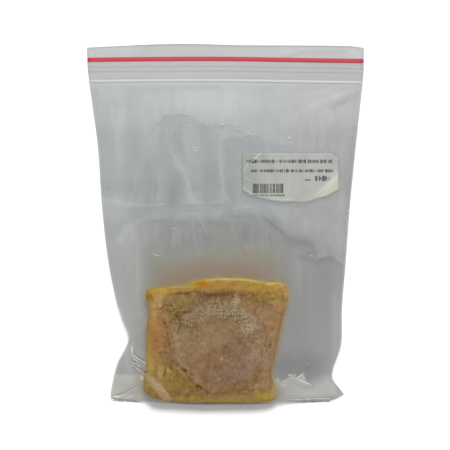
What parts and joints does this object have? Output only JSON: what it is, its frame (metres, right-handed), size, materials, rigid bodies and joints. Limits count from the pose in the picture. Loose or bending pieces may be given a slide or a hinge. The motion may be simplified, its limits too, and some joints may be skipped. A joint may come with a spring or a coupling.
{
  "type": "bagged pink salmon portion",
  "caption": "Frozen pink salmon portion in a clear press-seal bag that lies on its back, with a coloured zip line across the mouth and a paper price label.",
  "frame": {"origin": "middle of the underside: the centre of the bag's box in X and Y, on the surface that the bag lies on", "axes": "+X across the bag, to the right as the label is read; +Y along the bag from its bottom fold to its mouth; +Z out of the shown face, upwards"},
  "size_m": [0.18, 0.2341, 0.0265],
  "materials": {
    "film": "clear, slightly milky bag film with soft creases",
    "zip_red": "satin coloured plastic",
    "zip_clear": "clear, slightly milky plastic",
    "label_paper": "smooth thermal paper, lightly creased",
    "label_ink": null,
    "salmon": "frozen cooked-looking fish flesh, yellow at its rim and brownish pink in its middle, damp",
    "frost": "small grains of frost under the film"
  },
  "bodies": {
    "root": {"bag": "film", "zip_red_line": "zip_red", "zip_rib_1": "zip_clear", "zip_rib_2": "zip_clear", "zip_foot_rib": "zip_clear", "label": "label_paper"}
  },
  "joints": []
}
